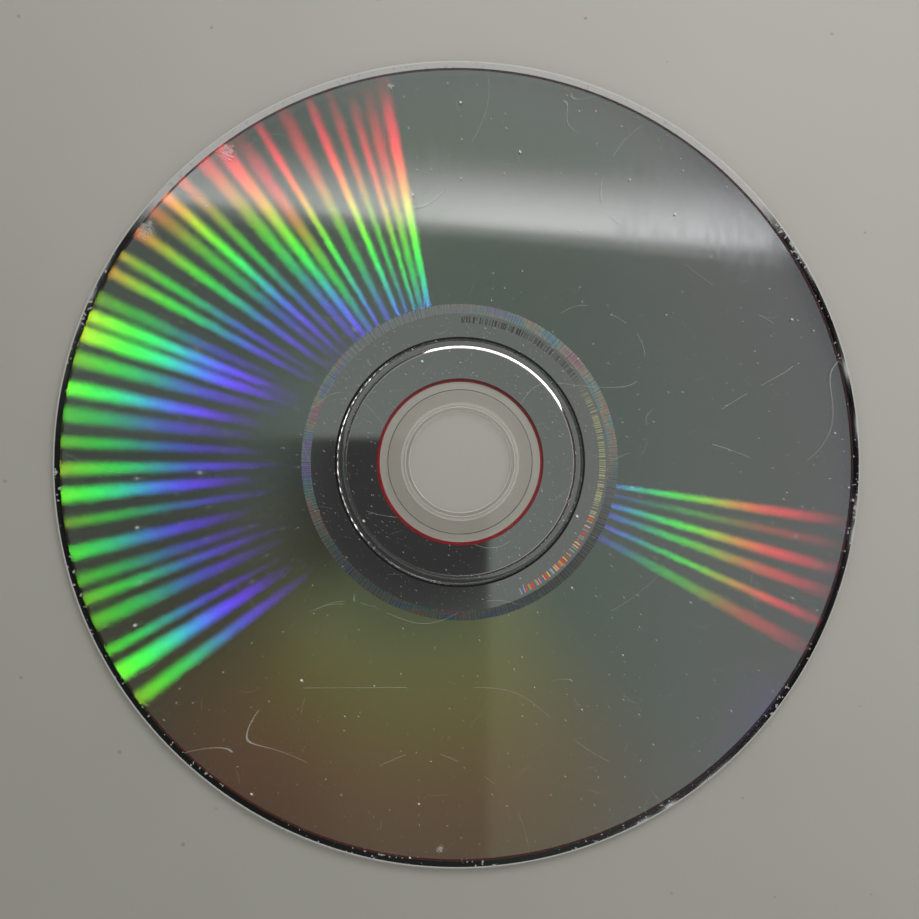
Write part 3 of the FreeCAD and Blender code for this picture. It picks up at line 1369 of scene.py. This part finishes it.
@dataclass
class CodeRing:
    """The short bars cut into the mirror band. Lengths are in millimetres, angles in degrees."""

    inner: float = 20.8
    outer: float = 21.75
    start: float = -65.0
    stop: float = 90.0
    module: float = 0.27
    height: float = 3.0
    foot: float = 4.6
    seed: int = 11

    def build(self, material: bpy.types.Material) -> bpy.types.Object:
        """Makes the bars.

        Args:
            material: their finish.

        Returns:
            The piece.
        """
        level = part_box("reflective_film")[1].z - self.foot * UM
        mesh = bpy.data.meshes.new("code_ring_bars")
        vertices = []
        faces = []
        for start, stop in self._bars():
            self._bar(start, stop, level, vertices, faces)
        mesh.from_pydata(vertices, [], faces)
        mesh.materials.append(material)
        mesh.update()
        piece = bpy.data.objects.new("code_ring_bars", mesh)
        bpy.context.scene.collection.objects.link(piece)
        return settle(piece, "mirror_film")

    def _bars(self) -> List[Tuple[float, float]]:
        """Draws the bars with seeded widths and gaps.

        Returns:
            Where each bar starts and stops.
        """
        draw = random.Random(self.seed)
        bars = []
        angle = self.start
        while angle < self.stop:
            width = self.module * draw.choice((1, 1, 1, 2, 2, 3))
            bars.append((angle, angle + width))
            angle += width + self.module * draw.choice((1, 1, 2, 2, 3, 4))
        return bars

    def _bar(
        self, start: float, stop: float, level: float,
        vertices: List[Tuple[float, float, float]], faces: List[Tuple[int, int, int, int]],
    ) -> None:
        """Adds one closed bar.

        Args:
            start: its first angle.
            stop: its last angle.
            level: the height of its foot in metres.
            vertices: the mesh's vertices, to add to.
            faces: the mesh's faces, to add to.
        """
        first = len(vertices)
        for height in (level, level + self.height * UM):
            for radius, angle in (
                (self.inner, start), (self.outer, start), (self.outer, stop), (self.inner, stop),
            ):
                turn = math.radians(angle)
                vertices.append((radius * MM * math.cos(turn), radius * MM * math.sin(turn), height))
        foot = [first + corner for corner in range(4)]
        top = [first + 4 + corner for corner in range(4)]
        faces.append(tuple(reversed(foot)))
        faces.append(tuple(top))
        for corner in range(4):
            beside = (corner + 1) % 4
            faces.append((foot[corner], foot[beside], top[beside], top[corner]))


@dataclass
class BondResin:
    """The clear resin that bonds the plates, with its curled inner lip. In millimetres."""

    inner: float = RESIN_INNER
    lip: float = 0.08
    lip_curl: float = 0.7
    film_inner: float = FILM_INNER
    film_outer: float = 59.06
    film_depth: float = 0.01
    clearance: float = 1.0

    def build(self, clear: bpy.types.Material, lip: bpy.types.Material) -> bpy.types.Object:
        """Makes the resin.

        Args:
            clear: the finish of its bonded faces.
            lip: the finish of its inner lip.

        Returns:
            The piece.
        """
        low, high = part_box("bonding_resin")
        base = low.z + self.clearance * UM
        top = high.z - self.clearance * UM
        under_film = high.z - self.film_depth * MM
        waist = 0.5 * (base + top)
        section = [
            Corner(self.inner, base, 0),
            Corner(high.x / MM, base, 0),
            Corner(high.x / MM, top, 0),
            Corner(self.film_outer, top, 0),
            Corner(self.film_outer, under_film, 0),
            Corner(self.film_inner, under_film, 0),
            Corner(self.film_inner, top, 0),
            Corner(self.inner, top, 1),
            Corner(self.inner + self.lip_curl * self.lip, 0.5 * (top + waist), 1),
            Corner(self.inner + self.lip, waist, 1),
            Corner(self.inner + self.lip_curl * self.lip, 0.5 * (base + waist), 1),
        ]
        return settle(turned("bond_resin_layer", section, [clear, lip]), "resin", "bonding_resin")


@dataclass
class LabelPlate:
    """The clear plate under the label, with the insert line round its hole. In millimetres."""

    hole: float = HOLE
    hole_chamfer: float = HOLE_CHAMFER
    insert_line: float = 8.8
    insert_width: float = 0.16
    insert_band: float = 0.36
    insert_depth: float = 0.05
    resin_inner: float = RESIN_INNER
    resin_outer: float = RESIN_OUTER
    varnish_inner: float = VARNISH_INNER
    varnish_outer: float = 59.6
    edge_round: float = EDGE_ROUND

    def build(self, materials: PlateMaterials) -> bpy.types.Object:
        """Makes the plate.

        Args:
            materials: its finishes.

        Returns:
            The piece.
        """
        low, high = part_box("label_side_plate")
        outer = high.x / MM
        edge = Corner(outer - self.edge_round, low.z + self.edge_round * MM, PlateFace.CLEAR)
        half = 0.5 * self.insert_width
        section = [
            Corner(self.hole, low.z + self.hole_chamfer * MM, PlateFace.CLEAR),
            Corner(self.hole + self.hole_chamfer, low.z, PlateFace.CLEAR),
            Corner(self.insert_line - self.insert_band, low.z, PlateFace.MOULDED),
            Corner(self.insert_line - half, low.z, PlateFace.MOULDED),
            Corner(self.insert_line, low.z + self.insert_depth * MM, PlateFace.MOULDED),
            Corner(self.insert_line + half, low.z, PlateFace.CLEAR),
            Corner(self.varnish_inner, low.z, PlateFace.BONDED),
            Corner(self.varnish_outer, low.z, PlateFace.CLEAR),
            *rounded(edge, self.edge_round, -90.0, 0.0),
            Corner(outer, high.z, PlateFace.CLEAR),
            Corner(self.resin_outer, high.z, PlateFace.BONDED),
            Corner(self.resin_inner, high.z, PlateFace.CLEAR),
            Corner(self.hole, high.z, PlateFace.CLEAR),
        ]
        piece = turned("clear_label_plate", section, materials.listed())
        return settle(piece, "label_plate", "label_side_plate")


@dataclass
class LabelPrint:
    """The red flood coat and the three pale rings printed on it. In millimetres."""

    inner: float = INK_INNER
    rings: Tuple[Tuple[float, float], ...] = ((21.5, 22.3), (24.0, 29.0), (55.65, 56.45))
    clearance: float = 1.5

    def build(self, red: bpy.types.Material, pale: bpy.types.Material) -> List[bpy.types.Object]:
        """Makes the flood coat and the rings.

        Args:
            red: the flood coat's finish.
            pale: the rings' finish.

        Returns:
            The pieces, with the flood coat first.
        """
        low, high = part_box("label_flood_ink")
        flood_top = high.z - 2.0 * self.clearance * UM
        flood = self._layer("red_flood_coat", self.inner, high.x / MM, low.z, flood_top, red)
        pieces = [settle(flood, "red_ink", "label_flood_ink")]
        low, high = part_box("label_ring_ink")
        for count, (inner, outer) in enumerate(self.rings, 1):
            ring = self._layer(f"pale_ring_{count}", inner, outer, low.z, high.z - self.clearance * UM, pale)
            pieces.append(settle(ring, "pale_ink", "label_ring_ink"))
        return pieces

    @staticmethod
    def _layer(
        name: str, inner: float, outer: float, base: float, top: float, finish: bpy.types.Material,
    ) -> bpy.types.Object:
        """Turns one flat layer.

        Args:
            name: the piece's name.
            inner: its inner radius.
            outer: its outer radius.
            base: the height of its underside in metres.
            top: the height of its upper side in metres.
            finish: its material.

        Returns:
            The piece.
        """
        section = [Corner(inner, base), Corner(outer, base), Corner(outer, top), Corner(inner, top)]
        return turned(name, section, [finish])


@dataclass
class LabelVarnish:
    """The clear varnish over the print, which the disc lies on. In millimetres."""

    inner: float = VARNISH_INNER
    ink_inner: float = INK_INNER
    ink_outer: float = 59.45
    clearance: float = 1.0

    def build(
        self, rings: Sequence[Tuple[float, float]], gloss: bpy.types.Material, bonded: bpy.types.Material,
    ) -> bpy.types.Object:
        """Makes the varnish with its seats for the flood coat and the rings.

        Args:
            rings: inner and outer radius of each printed ring, from the hole outward.
            gloss: the finish of its outer faces.
            bonded: the finish of the faces that the print covers.

        Returns:
            The piece.
        """
        low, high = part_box("label_varnish")
        gap = self.clearance * UM
        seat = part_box("label_flood_ink")[0].z - gap
        ring_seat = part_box("label_ring_ink")[0].z - gap
        top = high.z - gap
        outer = high.x / MM
        section = [
            Corner(self.inner, low.z, 0), Corner(outer, low.z, 0), Corner(outer, top, 1),
            Corner(self.ink_outer, top, 1), Corner(self.ink_outer, seat, 1),
        ]
        for ring_inner, ring_outer in reversed(rings):
            section += [Corner(ring_outer, seat, 1), Corner(ring_outer, ring_seat, 1)]
            section += [Corner(ring_inner, ring_seat, 1), Corner(ring_inner, seat, 1)]
        section += [
            Corner(self.ink_inner, seat, 1),
            Corner(self.ink_inner, top, 1),
            Corner(self.inner, top, 0),
        ]
        return settle(turned("label_varnish_coat", section, [gloss, bonded]), "varnish", "label_varnish")


# --------------------------------------------------------------------------------------------------
# The studio
# --------------------------------------------------------------------------------------------------


def facing(place: Vector, back: Vector, right: Vector) -> Matrix:
    """The matrix of a camera or lamp.

    Args:
        place: where it stands.
        back: the direction that it faces away from, of length 1.
        right: the direction to its right, at right angles to back.

    Returns:
        Its matrix, in metres.
    """
    up = back.cross(right)
    return Matrix((
        (right.x, up.x, back.x, place.x),
        (right.y, up.y, back.y, place.y),
        (right.z, up.z, back.z, place.z),
        (0.0, 0.0, 0.0, 1.0),
    ))


@dataclass
class StreakLamps:
    """A row of small lamps round the disc, each of which draws one coloured streak. In metres and degrees."""

    start: float
    stop: float
    near: Tuple[float, float]
    far: Tuple[float, float]
    radiance: float
    change: Tuple[float, float] = (0.2, 0.5)
    steps: Tuple[float, ...] = (2.6, 3.2, 3.6, 4.2)
    widths: Tuple[float, float] = (0.9, 2.0)
    length: float = 1.5
    seed: int = 5

    def build(self) -> List[bpy.types.Object]:
        """Makes the lamps.

        Returns:
            The lamps, in order round the disc.
        """
        draw = random.Random(self.seed)
        lamps = []
        angle = self.start
        while angle < self.stop:
            share = (angle - self.start) / (self.stop - self.start)
            lean = min(1.0, max(0.0, (share - self.change[0]) / (self.change[1] - self.change[0])))
            out = (self.near[0] + (self.far[0] - self.near[0]) * lean) * draw.uniform(0.97, 1.05)
            height = self.near[1] + (self.far[1] - self.near[1]) * lean
            width = draw.uniform(*self.widths)
            lamps.append(self._lamp(angle, out, height, width, self.radiance * draw.uniform(0.4, 1.4)))
            angle += draw.choice(self.steps)
        LOG.info("%d streak lamps from %g degrees", len(lamps), self.start)
        return lamps

    def _lamp(
        self, angle: float, out: float, height: float, width: float, radiance: float,
    ) -> bpy.types.Object:
        """Makes one lamp that faces the disc.

        Args:
            angle: where it stands round the disc.
            out: how far from the axis.
            height: how high.
            width: how wide it is, as an angle round the axis.
            radiance: how bright its face is.

        Returns:
            The lamp.
        """
        turn = math.radians(angle)
        place = Vector((out * math.cos(turn), out * math.sin(turn), height))
        lamp = bpy.data.objects.new("streak_lamp", bpy.data.lights.new("streak_lamp", "AREA"))
        bpy.context.scene.collection.objects.link(lamp)
        lamp.matrix_world = facing(place, place.normalized(), Vector((-math.sin(turn), math.cos(turn), 0.0)))
        lamp.data.shape = "RECTANGLE"
        lamp.data.size = math.radians(width) * out
        lamp.data.size_y = math.radians(self.length) * place.length
        lamp.data.energy = math.pi * radiance * lamp.data.size * lamp.data.size_y
        return lamp


@dataclass(frozen=True)
class Room:
    """The world: even soft light, and for mirrors a dim ceiling with one pale window band.

    Places are slopes away from the vertical, and headings are in radians. A fade gives where it starts
    and ends, and then its values there.
    """

    even: Colour = (0.51, 0.51, 0.50)
    backdrop: Colour = (0.72, 0.71, 0.68)
    greenish: Colour = (0.83, 1.05, 0.90)
    lowest: float = 0.02
    walls: Fade = (0.50, 0.22, 0.0, 0.55)
    window_line: float = 0.20
    window_tilt: float = 0.073
    window_edge: Fade = (-0.001, 0.006, 0.0, 1.0)
    window_glow: Fade = (0.0, 0.060, 1.0, 0.12)
    window_start: Fade = (-0.12, 0.10, 0.62, 1.0)
    window_stop: Fade = (0.20, 0.42, 1.0, 0.45)
    window_grey: Fade = (0.0, 0.3, 0.0, 1.0)
    ceiling: Fade = (0.06, 0.14, 0.195, 0.18)
    ceiling_rise: Fade = (0.08, 0.24, 0.0, 0.035)
    ceiling_stop: Fade = (0.32, 0.36, 1.0, 0.0)
    ceiling_grey: Fade = (0.06, 0.24, 0.0, 0.75)
    corner_side: Fade = (0.049, 0.056, 1.0, 0.0)
    corner_ahead: Fade = (0.037, 0.044, 1.0, 0.0)
    corner_shade: Fade = (0.06, 0.14, 0.026, 0.115)
    quiet_side: Fade = (-0.02, -0.12, 0.0, 1.0)
    quiet_out: Fade = (0.10, 0.18, 0.0, 1.0)
    quiet_share: float = 0.35
    patch_start: Fade = (0.50, 0.95, 0.0, 1.0)
    patch_stop: Fade = (1.65, 2.25, 1.0, 0.0)
    patch_near: Fade = (0.54, 0.65, 0.0, 0.125)
    patch_far: Fade = (0.76, 1.05, 1.0, 0.0)
    dimmest: float = 0.02

    def build(self) -> None:
        """Makes the world, with its even light for all rays but mirrored and refracted ones."""
        world = bpy.data.worlds.new("room")
        bpy.context.scene.world = world
        world.use_nodes = True
        nodes = Nodes(world.node_tree)
        background = world.node_tree.nodes["Background"]
        across, up, height = nodes.split(nodes.add("ShaderNodeTexCoord").outputs["Generated"])
        lift = nodes.math("MAXIMUM", height, self.lowest)
        side = nodes.math("DIVIDE", across, lift)
        ahead = nodes.math("DIVIDE", up, lift)
        squares = [nodes.math("MULTIPLY", part, part) for part in (side, ahead)]
        centre = nodes.math("SQRT", nodes.math("ADD", *squares))
        overhead = self._overhead(nodes, side, ahead, centre)
        walls = nodes.span(height, *self.walls)
        beyond = nodes.math("ADD", self._patch(nodes, side, ahead, centre), walls)
        room = nodes.vector("ADD", overhead, nodes.point(beyond, beyond, beyond))
        path = nodes.add("ShaderNodeLightPath")
        shiny = nodes.math("MAXIMUM", path.outputs["Is Glossy Ray"], path.outputs["Is Transmission Ray"])
        plain = nodes.blend(path.outputs["Is Camera Ray"], self.even, self.backdrop)
        nodes.plug(nodes.blend(shiny, plain, room), background.inputs["Color"])

    def _overhead(self, nodes: Nodes, side: Socket, ahead: Socket, centre: Socket) -> Socket:
        """Adds what a mirror sees over the disc: greenish dimness, a darker corner and the window band.

        Args:
            nodes: the world's tree.
            side: the direction's slope towards +X.
            ahead: its slope towards +Y.
            centre: its slope away from the vertical.

        Returns:
            The colour.
        """
        window = self._window(nodes, side, ahead)
        rise = nodes.span(side, *self.ceiling_rise)
        lit = nodes.math("ADD", nodes.span(centre, *self.ceiling), rise)
        low = nodes.span(ahead, *self.corner_ahead)
        corner = nodes.math("MULTIPLY", nodes.span(side, *self.corner_side), low)
        shaded = nodes.span(centre, *self.corner_shade)
        dim = nodes.math("MULTIPLY_ADD", corner, nodes.math("SUBTRACT", shaded, lit), lit)
        out = nodes.span(centre, *self.quiet_out)
        fan = nodes.math("MULTIPLY", nodes.span(side, *self.quiet_side), out)
        quiet = nodes.math("MULTIPLY", dim, nodes.math("MULTIPLY_ADD", fan, -self.quiet_share, 1.0))
        within = nodes.span(centre, *self.ceiling_stop)
        near = nodes.math("MULTIPLY", nodes.math("ADD", quiet, window), within)
        plain = nodes.point(near, near, near)
        green = nodes.blend(1.0, plain, self.greenish, "MULTIPLY")
        grey = nodes.span(side, *self.ceiling_grey)
        neutral = nodes.math("MAXIMUM", nodes.span(window, *self.window_grey), grey)
        return nodes.blend(neutral, green, plain)

    def _window(self, nodes: Nodes, side: Socket, ahead: Socket) -> Socket:
        """Adds the window band, with a crisp near edge and a glow that fades outward.

        Args:
            nodes: the world's tree.
            side: the direction's slope towards +X.
            ahead: its slope towards +Y.

        Returns:
            Its brightness.
        """
        tilted = nodes.math("MULTIPLY_ADD", side, self.window_tilt, ahead)
        past = nodes.math("SUBTRACT", tilted, self.window_line)
        glow = nodes.span(past, *self.window_glow)
        band = nodes.math("MULTIPLY", nodes.span(past, *self.window_edge), glow)
        start = nodes.span(side, *self.window_start)
        reach = nodes.math("MULTIPLY", start, nodes.span(side, *self.window_stop))
        return nodes.math("MULTIPLY", band, reach)

    def _patch(self, nodes: Nodes, side: Socket, ahead: Socket, centre: Socket) -> Socket:
        """Adds the faint pale patch low over the table, which the track spreads into a broad glow.

        Args:
            nodes: the world's tree.
            side: the direction's slope towards +X.
            ahead: its slope towards +Y.
            centre: its slope away from the vertical.

        Returns:
            Its brightness.
        """
        heading = nodes.math("ARCTAN2", ahead, side)
        stop = nodes.span(heading, *self.patch_stop)
        wedge = nodes.math("MULTIPLY", nodes.span(heading, *self.patch_start), stop)
        fall = nodes.span(centre, *self.patch_far)
        patch = nodes.math("MULTIPLY", nodes.span(centre, *self.patch_near), fall)
        return nodes.math("MULTIPLY_ADD", wedge, patch, self.dimmest)


@dataclass
class Studio:
    """The table, the room, the lamps and the camera. In metres unless a name says otherwise."""

    groups: DiscGroups
    table_half: float = 3.0
    table_drop: float = 0.02 * MM
    key_angle: float = 66.0
    key_out: float = 0.26
    key_height: float = 0.30
    key_size: Tuple[float, float] = (0.30, 0.20)
    key_radiance: float = 4.5
    lens: float = 52.5
    camera_place: Tuple[float, float, float] = (-0.0062, -0.0045, 0.2)
    camera_aim: Tuple[float, float, float] = (-0.0001, 0.00034, 0.001)

    def build(self) -> None:
        """Makes the whole studio."""
        self._table()
        Room().build()
        self._key()
        StreakLamps(-74.0, 39.0, near=(0.203, 0.40), far=(0.455, 1.0), radiance=7.6).build()
        StreakLamps(
            147.0, 169.0, near=(0.197, 0.40), far=(0.197, 0.40), radiance=4.2, steps=(3.2, 3.8, 4.6), seed=8,
        ).build()
        self._camera()
        bpy.context.scene.view_settings.view_transform = "Standard"
        bpy.context.scene.cycles.transparent_max_bounces = 24

    def _table(self) -> None:
        """Makes the table top just under the disc."""
        half, level = self.table_half, -self.table_drop
        corners = [(-half, -half, level), (half, -half, level), (half, half, level), (-half, half, level)]
        mesh = bpy.data.meshes.new("table")
        mesh.from_pydata(corners, [], [(0, 1, 2, 3)])
        mesh.materials.append(TableFinish(self.groups).build())
        table = bpy.data.objects.new("table", mesh)
        bpy.context.scene.collection.objects.link(table)

    def _key(self) -> None:
        """Makes the broad soft lamp."""
        turn = math.radians(self.key_angle)
        place = Vector((self.key_out * math.cos(turn), self.key_out * math.sin(turn), self.key_height))
        lamp = bpy.data.objects.new("key_lamp", bpy.data.lights.new("key_lamp", "AREA"))
        bpy.context.scene.collection.objects.link(lamp)
        lamp.matrix_world = facing(place, place.normalized(), Vector((-math.sin(turn), math.cos(turn), 0.0)))
        lamp.data.shape = "RECTANGLE"
        lamp.data.size, lamp.data.size_y = self.key_size
        lamp.data.energy = math.pi * self.key_radiance * lamp.data.size * lamp.data.size_y
        lamp.visible_glossy = False

    def _camera(self) -> None:
        """Makes the camera, with the disc's +Y up in its picture."""
        place, aim = Vector(self.camera_place), Vector(self.camera_aim)
        back = (place - aim).normalized()
        right = Vector((0.0, 1.0, 0.0)).cross(back).normalized()
        camera = bpy.data.objects.new("camera", bpy.data.cameras.new("camera"))
        bpy.context.scene.collection.objects.link(camera)
        camera.matrix_world = facing(place, back, right)
        camera.data.lens = self.lens
        camera.data.clip_start = MM
        bpy.context.scene.camera = camera


def main() -> None:
    """Builds the disc round its CAD frame, then the studio."""
    logging.basicConfig(level=logging.INFO)
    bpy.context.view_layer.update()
    groups = DiscGroups()
    scuffs = (
        Scuff(127.0, 57.6, 2.4),
        Scuff(143.5, 57.8, 2.6),
        Scuff(100.5, 57.0, 1.0),
        Scuff(-93.0, 57.2, 1.1),
    )
    clear = ClearFinish(groups).build()
    bonded = BondedFinish().build()
    rim = RimFinish(groups).build()
    read_pane = PaneFinish(groups, "read_side_gloss", scuffs=scuffs).build()
    gloss = PaneFinish(groups, "varnish_gloss", ior=1.5, dust_share=0.15, scratch_share=0.3).build()
    moulded = MouldLineFinish(groups).build()
    # Painted shade: the mould-line finish, made near-black, for the strip outside the stacking ridge.
    shaded = MouldLineFinish(
        groups, "painted_ridge_shade", colour=(0.010, 0.010, 0.010), cover=1.3, mottle=0.6,
    ).build()
    plate = PlateMaterials(clear, read_pane, bonded, rim, moulded, shaded)
    ReadPlate().build(plate)
    film_finishes = (
        TrackFinish(groups),
        LeadInFinish(groups),
        MirrorBandFinish(groups),
        MetalBackFinish(groups),
    )
    MirrorFilm().build([finish.build() for finish in film_finishes])
    CodeRing().build(CodeBarFinish(groups).build())
    BondResin().build(bonded, MeniscusFinish(groups).build())
    LabelPlate().build(plate)
    label = LabelPrint()
    label.build(
        InkFinish(groups, "red_screen_ink", (0.258, 0.001, 0.007)).build(),
        InkFinish(groups, "pale_screen_ink", (0.72, 0.69, 0.64), depth=0.12).build(),
    )
    LabelVarnish().build(label.rings, gloss, bonded)
    Studio(groups).build()


if __name__ == "__main__":
    main()
